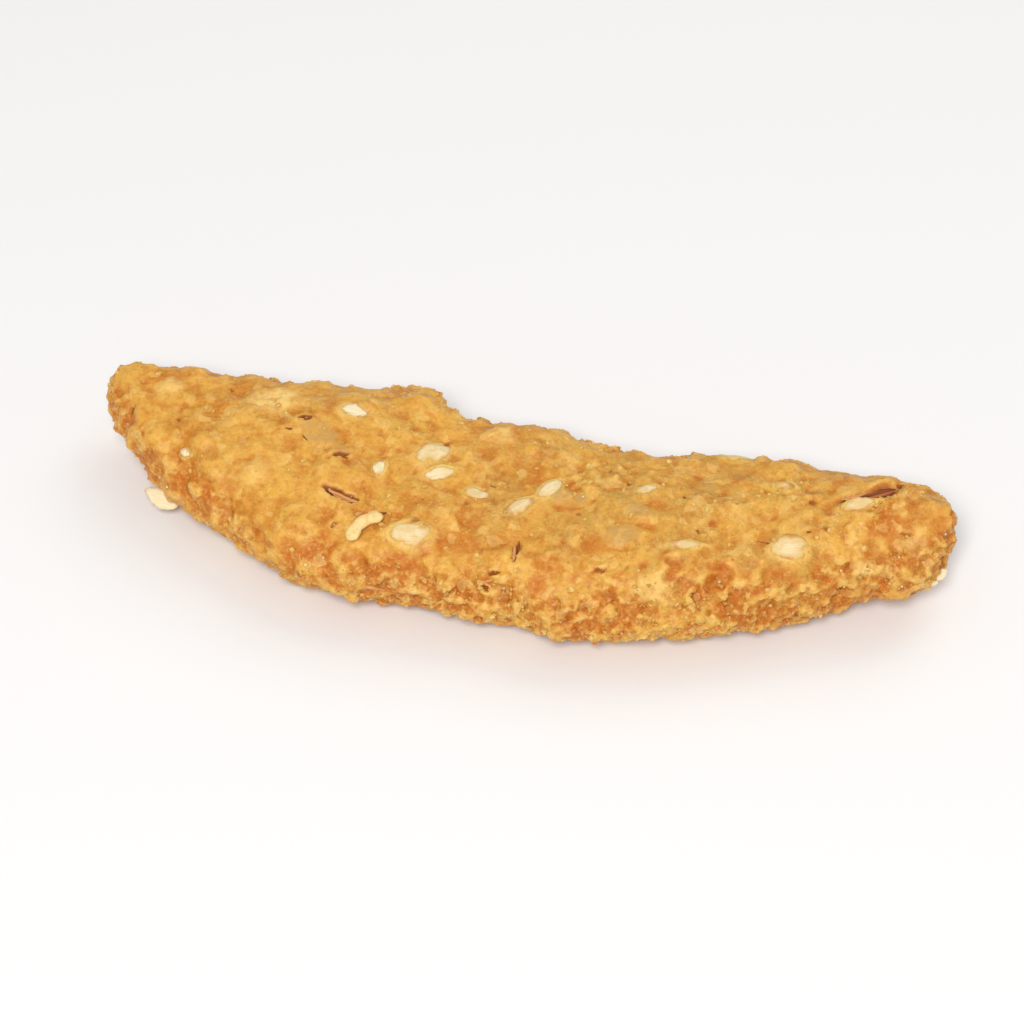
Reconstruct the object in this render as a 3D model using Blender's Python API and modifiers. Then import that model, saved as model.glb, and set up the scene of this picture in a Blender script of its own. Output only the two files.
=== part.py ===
"""A sesame stick: one curved strip of seeded dough, cut from a rolled sheet and fried until crisp.

The strip lies on its flatter side. +X runs along its chord, +Y points to the hollow of its curve and
+Z up, and the origin is the middle of its bounding box, on the surface that it rests on.
"""

import math

import bmesh
import bpy
from mathutils import Vector, noise

# Driving dimensions, in metres.
LENGTH = 0.0502  # tip to tip, along the chord
WIDTH = 0.0138  # across the strip at the middle, before its edge swells in or out
THICKNESS = 0.0064
BOW = 0.0049  # how far the middle stands off the line between the tips

# How the strip narrows: its half-width is (1 - |share| ** power) ** roundness of the full one.
TAPER_POWER = 2.6
LEFT_ROUNDNESS = 0.66  # pointed tip
RIGHT_ROUNDNESS = 0.50  # blunt tip
TIP_SHARE = 0.975  # where the end faces of the cage stand, as a share of the half-length
TIP_THINNING = 0.48  # the share of the thickness that is lost towards a tip
SECTION_POWER = 2.8  # 2 is an ellipse, and more is boxier
TIP_SECTION_POWER = 2.1

# Where the cut edge swells or draws in: side (-1 front, 1 back), place and reach along the half-length,
# and how far out, in metres.
EDGE_SWELLS = (
    (1, -0.31, 0.07, 0.0024),  # the knuckle behind the notch
    (1, -0.45, 0.11, 0.0013),
    (1, -0.18, 0.05, -0.0006),
    (1, -0.90, 0.07, -0.0012),
    (1, 0.04, 0.10, 0.0010),
    (1, 0.30, 0.14, -0.0012),  # the notch of the inner edge
    (1, 0.58, 0.10, 0.0005),
    (-1, -0.40, 0.13, 0.0015),
    (-1, -0.78, 0.10, 0.0009),
    (-1, -0.05, 0.08, -0.0005),
    (-1, 0.18, 0.12, 0.0005),
    (-1, 0.68, 0.18, -0.0011),
    (-1, 0.95, 0.05, 0.0008),
)
# Where the upper face swells or sinks: place along, place across (-1 front, 1 back), reach, height.
FACE_SWELLS = (
    (-0.34, 0.70, 0.16, 0.0007),
    (-0.62, -0.10, 0.20, 0.0003),
    (-0.05, 0.10, 0.24, -0.0005),
    (0.42, -0.35, 0.22, 0.0006),
    (0.86, -0.10, 0.14, 0.0006),
    (0.62, 0.80, 0.14, -0.0004),
)

SWELL_ACROSS = 0.3  # how much less a swell of the upper face changes across the strip than along it

TIP_LIFT = 0.0012  # how far the tips curl up from the table
TIP_LIFT_POWER = 3.5  # a higher power keeps the curl nearer to the tips
TWIST = math.radians(5.0)  # from tip to tip
LUMP_SIZE = 0.0042
LUMP_HEIGHT = 0.00032
GRIT_SIZE = 0.0017
GRIT_HEIGHT = 0.00012
FOOT_CUT = 0.00034  # how much of the underside's lowest swell is flat

CAGE_SIZE = 2.0  # the cage starts as a cube from -1 to 1 along each axis
CAGE_ALONG = 30  # its cells
CAGE_ACROSS = 6
CAGE_DEEP = 3
NEARLY = 0.95  # tells a full-length edge or an end face of the cage from the rest

SHARP_ANGLE = math.radians(60)  # edges that turn more than this are shaded sharp
CRUST_COLOUR = (0.66, 0.33, 0.085, 1.0)
CRUST_ROUGHNESS = 0.62


def swell(distance, reach):
    """A smooth bump that is 1 at its middle and dies away over about twice its reach."""
    return math.exp(-((distance / reach) ** 2))


def narrowing(share):
    """How wide the strip is at this share of its half-length, next to its full width."""
    roundness = LEFT_ROUNDNESS if share < 0 else RIGHT_ROUNDNESS
    return (1 - min(abs(share), 1) ** TAPER_POWER) ** roundness


def edge_offset(share, side):
    """How far the strip's edge lies from its middle line, on the front (-1) or the back (1)."""
    offset = WIDTH / 2 * narrowing(share)
    for on_side, place, reach, out in EDGE_SWELLS:
        if on_side == side:
            offset += out * swell(share - place, reach) * narrowing(share)
    return offset


def face_offset(share, across):
    """How far the upper face stands above an even crown."""
    return sum(
        height * swell(math.hypot(share - place, (across - beside) * SWELL_ACROSS), reach)
        for place, beside, reach, height in FACE_SWELLS
    )


def cage_to_strip(corner):
    """Moves a point of the unit cage (each coordinate from -1 to 1) to its place in the strip."""
    share, across, up = corner
    ring = max(abs(across), abs(up))
    end = math.copysign(1, share)
    if abs(share) > NEARLY:
        share = end * (TIP_SHARE + (1 - TIP_SHARE) * (1 - ring**2))
    else:
        share = TIP_SHARE * math.sin(share * math.pi / 2)
    if ring > 0:
        power = TIP_SECTION_POWER + (SECTION_POWER - TIP_SECTION_POWER) * narrowing(share)
        rounded = ring / (abs(across) ** power + abs(up) ** power) ** (1 / power)
        across, up = across * rounded, up * rounded

    rim = min(abs(share), TIP_SHARE) * end
    beside = across * edge_offset(rim, -1 if across < 0 else 1)
    thickness = THICKNESS * (1 - TIP_THINNING * (1 - narrowing(rim)))
    height = up * thickness / 2
    if up > 0:
        height += up * face_offset(share, across)

    turn = TWIST / 2 * share
    slope = math.atan2(4 * BOW * share, LENGTH)
    along = share * LENGTH / 2
    return Vector(
        (
            along - beside * math.sin(slope),
            BOW * share**2 + beside * math.cos(slope),
            height + beside * math.sin(turn) + TIP_LIFT * abs(share) ** TIP_LIFT_POWER,
        )
    )


def roughen(mesh):
    """Pushes the points of a mesh in and out along their normals, as the crust's lumps and grit do."""
    for vertex in mesh.vertices:
        lump = noise.noise(vertex.co / LUMP_SIZE) * LUMP_HEIGHT
        grit = noise.noise(vertex.co / GRIT_SIZE) * GRIT_HEIGHT
        vertex.co += vertex.normal * (lump + grit)


def cut_directions(mesh):
    """The cage's edges along each axis, with the number of cells that each is cut into."""
    for axis, cells in enumerate((CAGE_ALONG, CAGE_ACROSS, CAGE_DEEP)):
        edges = [
            edge
            for edge in mesh.edges
            if abs((edge.verts[1].co - edge.verts[0].co)[axis]) > NEARLY * CAGE_SIZE
        ]
        yield edges, cells - 1


def build_cage():
    """The coarse cage: a cube primitive cut into cells and bent into the strip."""
    cage = bmesh.new()
    bmesh.ops.create_cube(cage, size=CAGE_SIZE)
    for edges, cuts in cut_directions(cage):
        bmesh.ops.subdivide_edges(cage, edges=edges, cuts=cuts, use_grid_fill=True)
    for vertex in cage.verts:
        vertex.co = cage_to_strip(vertex.co)
    bmesh.ops.recalc_face_normals(cage, faces=cage.faces)
    mesh = bpy.data.meshes.new("cage")
    cage.to_mesh(mesh)
    cage.free()
    return mesh


def smoothed(mesh, name):
    """A new mesh: the cage's Subdivision Surface, applied."""
    holder = bpy.data.objects.new(name, mesh)
    bpy.context.scene.collection.objects.link(holder)
    surface = holder.modifiers.new("soft form", "SUBSURF")
    surface.levels = surface.render_levels = 1
    graph = bpy.context.evaluated_depsgraph_get()
    result = bpy.data.meshes.new_from_object(holder.evaluated_get(graph))
    bpy.data.objects.remove(holder)
    bpy.data.meshes.remove(mesh)
    result.name = name
    return result


def flatten_foot(mesh):
    """Cuts the lowest swell off level, as the side that lay on the tray, and stands it at z = 0."""
    body = bmesh.new()
    body.from_mesh(mesh)
    level = min(vertex.co.z for vertex in body.verts) + FOOT_CUT
    cut = bmesh.ops.bisect_plane(
        body,
        geom=body.verts[:] + body.edges[:] + body.faces[:],
        dist=1e-7,
        plane_co=(0, 0, level),
        plane_no=(0, 0, -1),
        clear_outer=True,
    )
    rim = [item for item in cut["geom_cut"] if isinstance(item, bmesh.types.BMEdge)]
    bmesh.ops.holes_fill(body, edges=rim)
    for vertex in body.verts:
        vertex.co.z -= level
    bmesh.ops.recalc_face_normals(body, faces=body.faces)
    body.to_mesh(mesh)
    body.free()


def centre(mesh):
    """Moves the mesh so that the middle of its box is at x = y = 0."""
    for axis in (0, 1):
        places = [vertex.co[axis] for vertex in mesh.vertices]
        middle = (min(places) + max(places)) / 2
        for vertex in mesh.vertices:
            vertex.co[axis] -= middle


def crust_material():
    material = bpy.data.materials.new("golden crust")
    material.use_nodes = True
    shader = material.node_tree.nodes["Principled BSDF"]
    shader.inputs["Base Color"].default_value = CRUST_COLOUR
    shader.inputs["Roughness"].default_value = CRUST_ROUGHNESS
    shader.inputs["Metallic"].default_value = 0.0
    return material


def build_stick(collection):
    mesh = smoothed(build_cage(), "stick")
    roughen(mesh)
    flatten_foot(mesh)
    centre(mesh)
    mesh.shade_smooth()
    mesh.set_sharp_from_angle(angle=SHARP_ANGLE)
    mesh.materials.append(crust_material())
    stick = bpy.data.objects.new("stick", mesh)
    collection.objects.link(stick)
    return stick


def main():
    for old in list(bpy.data.objects):
        bpy.data.objects.remove(old)
    collection = bpy.data.collections.new("sesame stick")
    bpy.context.scene.collection.children.link(collection)
    build_stick(collection)


main()
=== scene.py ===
from math import cos, radians, sin
from random import Random

import bpy
from mathutils import Matrix, Vector, noise
from mathutils.bvhtree import BVHTree
from mathutils.kdtree import KDTree


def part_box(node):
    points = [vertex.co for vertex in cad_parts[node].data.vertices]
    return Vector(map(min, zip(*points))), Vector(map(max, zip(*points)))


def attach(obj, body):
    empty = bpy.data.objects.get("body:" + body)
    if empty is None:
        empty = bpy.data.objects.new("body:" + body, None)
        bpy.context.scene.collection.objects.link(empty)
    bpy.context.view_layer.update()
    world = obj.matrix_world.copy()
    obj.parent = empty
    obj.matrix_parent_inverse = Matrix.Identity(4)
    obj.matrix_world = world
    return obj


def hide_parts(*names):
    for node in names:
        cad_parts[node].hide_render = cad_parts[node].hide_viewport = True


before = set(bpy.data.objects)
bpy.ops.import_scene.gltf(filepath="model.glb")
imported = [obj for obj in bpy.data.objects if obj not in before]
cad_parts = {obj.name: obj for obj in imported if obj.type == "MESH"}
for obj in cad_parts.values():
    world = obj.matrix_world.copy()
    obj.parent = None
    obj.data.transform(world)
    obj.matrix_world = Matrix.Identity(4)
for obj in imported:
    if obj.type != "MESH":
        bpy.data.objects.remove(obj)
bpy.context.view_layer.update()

# ------------------------------------------------------------------ fried crust
# One strip of chickpea and wheat dough, cut by hand, curved and fried whole, so it has no joint.
# Fine crumb and small blisters cover it. The rims and sides are rougher and browner than the top.
# The dough closed round the seeds when it was pressed out, and split beside some of them.

MILLIMETRE = 0.001             # pieces are modelled in millimetres and shrunk to metres at the end
SKIN_ALLOWANCE = -0.14         # the dough is drawn in so that the crumb brings it out to size again
SWELL_SPREAD = 2.6             # broad swells and dents, across
SWELL_RISE = 0.80
BLISTER_SPREAD = 1.15
BLISTER_RISE = 0.46
RIM_BLISTER_RISE = 0.36
CRUMB_COUNT = 9000
CRUMB_SMALLEST = 0.14          # half sizes of one lump of crumb
CRUMB_LARGEST = 0.49
CRUMB_RARITY = 3.2             # the higher, the fewer of the lumps are large
CRUMB_FLATNESS = 0.75
CRUMB_TILT = 25.0              # degrees
GRIT_SPREAD = 0.55
GRIT_RISE = 0.60
SIDE_UPRIGHT = 0.45            # how upright a normal is where the side turns into the rim
TOP_ROUGHNESS = 0.30           # crumb on the broad face, as a share of that on the sides
LEAST_ROUGHNESS = 0.20
END_ROUGHNESS = 0.18           # what both ends have more of it
CALM = 0.30                    # what the left flank and the back have less of it
SCATTER = 0.5                  # how much it changes from patch to patch
PATCHES = 0.30                 # how many patches to a millimetre
GRAIN_STEPS = 12               # smoothing steps that take away the grain, and then the blisters
BLISTER_STEPS = 70
SMOOTHING = 0.5
DETAIL = 0.151                 # the size of one facet of the crust
PORE_COUNT = 100
PORE_SIZES = (0.16, 0.36)      # least and most
PORE_DEPTHS = (0.10, 0.24)
# How dark a pit is painted: partly fried darker, partly painted shade in the pit.
PORE_BURN_AND_SHADE = 0.48
CRUST_GOLD = (0.580, 0.236, 0.023, 1.0)
CRUST_YELLOW = (0.720, 0.388, 0.063, 1.0)
CRUST_TAN = (0.480, 0.288, 0.062, 1.0)
CRUST_AMBER = (0.540, 0.160, 0.011, 1.0)
CRUST_BROWN = (0.330, 0.082, 0.006, 1.0)
# Darkest, for splits and pores: partly fried colour, partly painted shade in those hollows.
CRUST_SCORCH_AND_SHADE = (0.110, 0.028, 0.005, 1.0)
CRUST_PALE = (0.870, 0.590, 0.190, 1.0)
HUSK_GREY = (0.510, 0.295, 0.090, 1.0)


def table(columns, *rows):
    """Entries with these columns. A row may leave out its last ones."""
    return [dict(zip(columns.split(), row)) for row in rows]


# Seeds as they lie in the dough, in millimetres and degrees. The middle of a seed sinks below the
# skin. The veil is how far a film of dough creeps over it; below 0 it is clean and whiter. A lean
# lifts the right-hand end, a roll the far edge. A seed with a height lies at the nearest place on
# the skin, and one that faces a way of its own is held by its edge.
BARE_SEEDS = table(
    "x y turn length width sink veil lean roll z facing",
    (-4.8, -5.2, 188, 2.95, 1.90, 0.17, 0.05, 2, 4),
    (16.3, -1.5, 202, 2.70, 1.90, 0.17, 0.25, 3),
    (-4.9, 1.1, 36, 2.80, 1.60, 0.20, 0.00),
    (-4.1, -0.2, 30, 2.40, 0.95, 0.14, -0.15, 4, 18),
    (-10.0, 2.8, 10, 2.00, 1.30, 0.14, -0.30, -8, 8),
    (-1.7, -1.2, 2, 1.70, 1.00, 0.18, 0.10, -4),
    (2.2, 0.0, 62, 2.30, 1.15, 0.16, -0.05, 0, 10),
    (0.9, -1.6, 50, 2.30, 1.20, 0.19, 0.20, 4, -6),
    (19.6, 2.3, 24, 2.40, 0.80, 0.12, 0.20, 2, 24),
    (7.7, 0.8, 29, 1.40, 0.75, 0.16, 0.10, 4),
    (10.7, -2.9, 12, 2.30, 0.78, 0.18, 0.30, 6),
    (15.2, 3.1, 14, 1.60, 1.10, 0.24, 0.75),
    (-20.38, -2.02, 160, 2.30, 1.25, 0.00, -0.30, 0, 0, 1.55, (-0.15, -0.62, 0.76)),
    (11.7, 5.5, 8, 2.70, 0.85, 0.12, 0.20, 0, 0, 5.25),
    (-7.5, -1.0, 64, 1.15, 0.85, 0.06, -0.20, 12),
    (-18.7, -2.1, 0, 0.66, 0.60, -0.04, -0.50),
    (24.65, 1.10, 60, 0.95, 0.62, 0.0, -0.5, 0, 0, 3.20, (0.5, -0.7, 0.6)),
    (24.35, 0.62, 15, 0.65, 0.50, 0.0, -0.5, 0, 0, 2.90, (0.5, -0.7, 0.5)),
    (23.75, -0.02, 10, 0.55, 0.40, 0.0, -0.5, 0, 0, 3.15, (0.4, -0.8, 0.5)))
TOASTED_SEEDS = table(
    "x y turn length width sink",
    (-11.4, 0.7, -12, 2.60, 1.70, 0.20),
    (-10.1, -0.2, -16, 1.60, 0.90, 0.24),
    (3.4, -0.3, 8, 2.30, 1.35, 0.24),
    (7.0, -2.8, 20, 2.40, 1.50, 0.22),
    (7.6, -1.0, 5, 1.60, 1.10, 0.24))
BURIED_SEEDS = table(
    "x y turn length width sink show",
    (-14.9, 3.0, 10, 3.20, 2.30, 0.34, 0.95),
    (-20.9, 2.7, 70, 2.00, 1.40, 0.36, 0.45),
    (9.3, -5.6, 8, 2.60, 1.80, 0.36, 0.65),
    (-14.5, -2.6, 40, 2.40, 1.60, 0.40, 0.30),
    (-1.5, 3.4, -20, 2.30, 1.50, 0.38, 0.40),
    (20.5, -1.2, 16, 1.30, 1.05, 0.30, 0.75))
# Places that the oil browned more or, below 0, left yellow, and how far that reaches. The two at x 10.4 and
# 12.9 sit in dimples, and the amber added there is painted shade.
BROWNED_AND_SHADED = table(
    "x y z reach more",
    (-23.1, 0.5, 5.2, 1.9, 0.38),
    (-17.7, -3.6, 4.5, 1.9, 0.34),
    (-10.4, -6.9, 4.4, 1.9, 0.30),
    (-5.1, -7.1, 4.4, 1.8, 0.45),
    (-3.2, -5.4, 5.6, 0.8, 0.60),
    (-1.7, -4.9, 5.5, 2.2, 0.38),
    (-8.6, -2.7, 5.9, 1.8, 0.30),
    (0.8, -6.6, 4.8, 2.6, 0.30),
    (4.5, -6.1, 5.5, 2.6, 0.45),
    (4.9, -7.8, 3.1, 2.0, 0.45),
    (6.9, -6.4, 4.9, 2.2, 0.40),
    # The next two are painted shade in two dimples of the front.
    (10.4, -4.7, 6.0, 1.2, 0.68),
    (12.9, -4.2, 5.5, 1.5, 0.95),
    (14.6, -4.6, 4.2, 1.2, 0.40),
    (12.6, -5.4, 4.1, 2.2, -0.10),
    (15.7, -3.0, 5.4, 1.1, 0.45),
    (13.7, 0.3, 6.5, 1.4, 0.26),
    (1.1, 2.2, 5.8, 1.1, 0.60),
    (16.5, 5.0, 5.7, 2.8, 0.25),
    (21.4, 0.1, 6.0, 1.9, 0.26),
    (22.8, 2.4, 6.5, 2.6, 0.30),
    (8.5, 0.6, 6.4, 4.0, -0.22),
    (3.4, -0.6, 5.9, 3.6, -0.40),
    (-4.0, 0.2, 5.9, 3.6, -0.20),
    (-10.4, 0.9, 6.4, 3.2, -0.40),
    (-15.6, 0.8, 6.4, 3.8, -0.60))
# Places where the dough split or sank. The burn is how dark the hollow is painted: partly fried darker,
# partly painted shade in the hollow.
SPLITS = table(
    "x y turn length width depth burn",
    (-9.3, -3.1, -14, 2.10, 0.52, 0.45, 0.90),
    (20.0, 3.5, 33, 4.00, 1.00, 0.50, 0.30),
    (1.4, -4.9, 96, 1.70, 0.28, 0.26, 0.40),
    (-9.9, -0.5, 30, 1.10, 0.26, 0.20, 0.55),
    (-12.6, 1.7, 20, 0.80, 0.24, 0.20, 0.70),
    (0.4, -6.2, 20, 0.75, 0.30, 0.30, 0.50),
    (0.0, -6.9, -20, 0.60, 0.26, 0.28, 0.46),
    (12.9, -4.3, 75, 2.20, 1.10, 0.34, 0.05),
    (10.4, -4.6, 80, 1.70, 0.90, 0.26, 0.04))


def take_hold(piece):
    """Leave only this piece selected and active."""
    bpy.ops.object.select_all(action="DESELECT")
    piece.select_set(True)
    bpy.context.view_layer.objects.active = piece


def settle(piece):
    """Put the piece's place, turn and size into its mesh."""
    take_hold(piece)
    bpy.ops.object.transform_apply(location=True, rotation=True, scale=True)


def shape_with(piece, kind, **settings):
    """Put one modifier on the piece and apply it."""
    take_hold(piece)
    modifier = piece.modifiers.new(kind.title(), kind)
    for setting, value in settings.items():
        setattr(modifier, setting, value)
    bpy.ops.object.modifier_apply(modifier=modifier.name)


def relief_pattern(name, kind, **settings):
    """A procedural pattern for a Displace modifier to follow."""
    pattern = bpy.data.textures.new(name, kind)
    for setting, value in settings.items():
        setattr(pattern, setting, value)
    return pattern


def strewn(name, models, placings, seed=0, tones_given=None):
    """Join a copy of a small model at each placing. Each point keeps its place in the model and a tone."""
    picker = Random(seed)
    points, faces, own_places, tones = [], [], [], []
    for number, placing in enumerate(placings):
        model = picker.choice(models).data
        tone = tones_given[number] if tones_given else picker.random()
        start = len(points)
        points += [placing @ vertex.co for vertex in model.vertices]
        faces += [[start + corner for corner in face.vertices] for face in model.polygons]
        own_places += [number for vertex in model.vertices for number in vertex.co]
        tones += [tone] * len(model.vertices)
    mesh = bpy.data.meshes.new(name)
    mesh.from_pydata(points, [], faces)
    mesh.attributes.new("own_place", "FLOAT_VECTOR", "POINT").data.foreach_set("vector", own_places)
    mesh.attributes.new("tone", "FLOAT", "POINT").data.foreach_set("value", tones)
    piece = bpy.data.objects.new(name, mesh)
    bpy.context.collection.objects.link(piece)
    return piece


def laid(place, normal, along, sizes, lean=0.0, roll=0.0):
    """The matrix that lays a model flat on the skin, its length along the given way."""
    across = normal.cross(along).normalized()
    ahead = across.cross(normal).normalized()
    stand = Matrix((ahead, across, normal)).transposed().to_4x4()
    tilt = Matrix.Rotation(-radians(lean), 4, "Y") @ Matrix.Rotation(radians(roll), 4, "X")
    return Matrix.Translation(place) @ stand @ tilt @ Matrix.Diagonal((*sizes, 1.0))


def random_way(picker):
    """A unit vector in any direction."""
    way = Vector([picker.gauss(0.0, 1.0) for axis in range(3)])
    return way.normalized()


def spots_on(mesh, count, seed):
    """Random places all over a mesh, each with the normal there."""
    picker = Random(seed)
    faces = picker.choices(mesh.polygons, weights=[face.area for face in mesh.polygons], k=count)
    for face in faces:
        shares = [picker.random() for corner in face.vertices]
        place = sum((mesh.vertices[corner].co * share
                     for corner, share in zip(face.vertices, shares)), Vector())
        yield place / sum(shares), face.normal.copy()


def ease(value):
    """0 to 1 with a soft start and a soft end."""
    value = min(max(value, 0.0), 1.0)
    return value * value * (3.0 - 2.0 * value)


# The dough strip, from a copy of the plain solid.
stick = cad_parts["stick"]
crust = stick.copy()
crust.data = stick.data.copy()
crust.name = "crust"
crust.parent = None
crust.matrix_world = Matrix.Identity(4)
bpy.context.collection.objects.link(crust)
crust.data.materials.clear()
take_hold(crust)
bpy.ops.object.mode_set(mode="EDIT")
bpy.ops.mesh.select_all(action="SELECT")
bpy.ops.mesh.remove_doubles(threshold=0.000001)
bpy.ops.transform.resize(value=[1.0 / MILLIMETRE] * 3, center_override=(0.0, 0.0, 0.0))
bpy.ops.mesh.normals_make_consistent(inside=False)
bpy.ops.object.mode_set(mode="OBJECT")
shape_with(crust, "SUBSURF", levels=1, render_levels=1)
skin = BVHTree.FromPolygons([vertex.co for vertex in crust.data.vertices],
                            [face.vertices for face in crust.data.polygons])


def on_top(x, y):
    """The place and normal where a plumb line meets the top of the strip."""
    far_above = Vector((x, y, 50.0))
    place, normal, face, distance = skin.ray_cast(far_above, Vector((0.0, 0.0, -1.0)))
    return place, normal


def level_way(degrees):
    """The unit vector that points this way round the upright, from the right."""
    turn = radians(degrees)
    return Vector((cos(turn), sin(turn), 0.0))


SEED_LEAST = 0.32              # a seed's thickness: this and a share of its size across, up to a most
SEED_PLUMPNESS = 0.24
SEED_MOST = 0.45


def seed_placing(seed):
    """The matrix of a listed seed, whose model is 1 mm long, 1 mm wide and 1 mm thick."""
    if "facing" in seed:
        place = Vector((seed["x"], seed["y"], seed["z"]))
        normal = Vector(seed["facing"]).normalized()
    elif "z" in seed:
        place, normal, face, distance = skin.find_nearest(Vector((seed["x"], seed["y"], seed["z"])))
    else:
        place, normal = on_top(seed["x"], seed["y"])
    across = (seed["length"] * seed["width"]) ** 0.5
    thickness = min(SEED_LEAST + SEED_PLUMPNESS * across, SEED_MOST * across)
    return laid(place - normal * seed["sink"], normal, level_way(seed["turn"]),
                (seed["length"], seed["width"], thickness), seed.get("lean", 0.0), seed.get("roll", 0.0))


bare_placings = [seed_placing(seed) for seed in BARE_SEEDS]
veils = [seed["veil"] for seed in BARE_SEEDS]
toasted_placings = [seed_placing(seed) for seed in TOASTED_SEEDS]
buried_placings = [seed_placing(seed) for seed in BURIED_SEEDS]
shows = [seed["show"] for seed in BURIED_SEEDS]

# Seeds on the faces turned away from the front are as many as on it, lying at random.
FRONT_WAY = Vector((0.16, -0.66, 0.73))
AWAY = -0.42                   # how far a face turns from the front to count as turned away
FAR_TRIES = 900
FAR_LOWEST = 0.35              # the lowest and the farthest out that a seed lies, and its elbow room
FAR_OUTERMOST = 19.0
FAR_ROOM = 2.6
FAR_THICKNESS = 0.72
far_seeds = Random(5)
taken = [placing.translation.copy() for placing in bare_placings + toasted_placings + buried_placings]
for place, normal in spots_on(crust.data, FAR_TRIES, seed=21):
    if normal.dot(FRONT_WAY) > AWAY or place.z < FAR_LOWEST or abs(place.x) > FAR_OUTERMOST:
        continue
    if any((place - other).length < FAR_ROOM for other in taken):
        continue
    taken.append(place)
    length = far_seeds.uniform(2.1, 2.8)
    width = length * far_seeds.uniform(0.56, 0.70)
    kind = far_seeds.choice(["bare", "bare", "bare", "toasted", "buried", "buried", "none"])
    sink = {"bare": far_seeds.uniform(0.10, 0.28), "toasted": 0.27, "buried": 0.38, "none": 0.0}[kind]
    placing = laid(place - normal * sink, normal, random_way(far_seeds),
                   (length, width, FAR_THICKNESS), far_seeds.uniform(-8, 8), far_seeds.uniform(-14, 14))
    if kind == "bare":
        bare_placings.append(placing)
        veils.append(far_seeds.uniform(0.0, 0.7))
    elif kind == "toasted":
        toasted_placings.append(placing)
    elif kind == "buried":
        buried_placings.append(placing)
        shows.append(far_seeds.uniform(0.3, 0.9))


def steepness(upright):
    """1 on a side and 0 on a broad face, from how upright the normal is."""
    return 1.0 - ease((upright - SIDE_UPRIGHT) / SIDE_UPRIGHT)


def crumbliness(place, normal):
    """How rough the dough is at a spot: least on the broad faces, most along rims and sides."""
    end = END_ROUGHNESS * ease((abs(place.x - 2.0) - 13.0) / 7.0)
    rough = TOP_ROUGHNESS + (1.0 - TOP_ROUGHNESS) * max(steepness(abs(normal.z)), end)
    left, back = ease((-5.0 - place.x) / 9.0), ease(normal.y / 0.6)
    rough += noise.noise(place * PATCHES) * SCATTER - CALM * max(left, 0.8 * back)
    return min(max(rough, LEAST_ROUGHNESS), 1.0)


# The crumb: lumps of every size, sunk in the skin and then grown together with it.
bpy.ops.mesh.primitive_ico_sphere_add(subdivisions=2, radius=1.0)
lump = bpy.context.object
lump.name = "lump"
lumps = Random(3)
lump_placings = []
for place, normal in spots_on(crust.data, CRUMB_COUNT, seed=8):
    rough = crumbliness(place, normal)
    radius = CRUMB_SMALLEST + (CRUMB_LARGEST - CRUMB_SMALLEST) * lumps.random() ** CRUMB_RARITY
    rise = radius * CRUMB_FLATNESS * (0.12 + 0.70 * rough * lumps.random())
    sizes = (radius, radius * lumps.uniform(0.65, 1.0), radius * CRUMB_FLATNESS)
    lump_placings.append(laid(place + normal * (SKIN_ALLOWANCE + rise - sizes[2]), normal,
                              random_way(lumps), sizes, lumps.uniform(-CRUMB_TILT, CRUMB_TILT),
                              lumps.uniform(-CRUMB_TILT, CRUMB_TILT)))
crumb = strewn("crumb", [lump], lump_placings)
bpy.data.objects.remove(lump)
swells = relief_pattern("swells", "CLOUDS", noise_scale=SWELL_SPREAD, noise_depth=1)
blisters = relief_pattern("blisters", "CLOUDS", noise_scale=BLISTER_SPREAD, noise_depth=1)
shape_with(crust, "DISPLACE", strength=SKIN_ALLOWANCE, mid_level=0.0)
take_hold(crust)
crumb.select_set(True)
bpy.ops.object.join()
shape_with(crust, "DISPLACE", texture=swells, strength=SWELL_RISE, mid_level=0.5)
shape_with(crust, "DISPLACE", texture=blisters, strength=BLISTER_RISE, mid_level=0.5)
shape_with(crust, "REMESH", mode="VOXEL", voxel_size=DETAIL)
shape_with(crust, "SMOOTH", factor=SMOOTHING, iterations=1)
grit = relief_pattern("grit", "CLOUDS", noise_scale=GRIT_SPREAD, noise_depth=3)
crumbly = []
for point in crust.data.vertices:
    place, normal, face, distance = skin.find_nearest(point.co)
    crumbly.append(crumbliness(place, normal))
group = crust.vertex_groups.new(name="crumbly")
for index, share in enumerate(crumbly):
    group.add([index], share, "REPLACE")
for pattern, rise in ((blisters, RIM_BLISTER_RISE), (grit, GRIT_RISE)):
    shape_with(crust, "DISPLACE", texture=pattern, strength=rise, mid_level=0.5, vertex_group="crumbly")
crust.vertex_groups.clear()

# Marks in the crust, made point by point: seed beds, bulges over buried seeds, splits and pores.
points = crust.data.vertices
normals = [normal.vector.copy() for normal in crust.data.vertex_normals]
places = [point.co.copy() for point in points]
# How dark each point is painted: where it fried darker, and painted shade in splits, pores and grooves.
scorch_and_shade = [0.0] * len(points)
pale = [0.0] * len(points)
near = KDTree(len(points))
for index, point in enumerate(points):
    near.insert(point.co, index)
near.balance()

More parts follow.
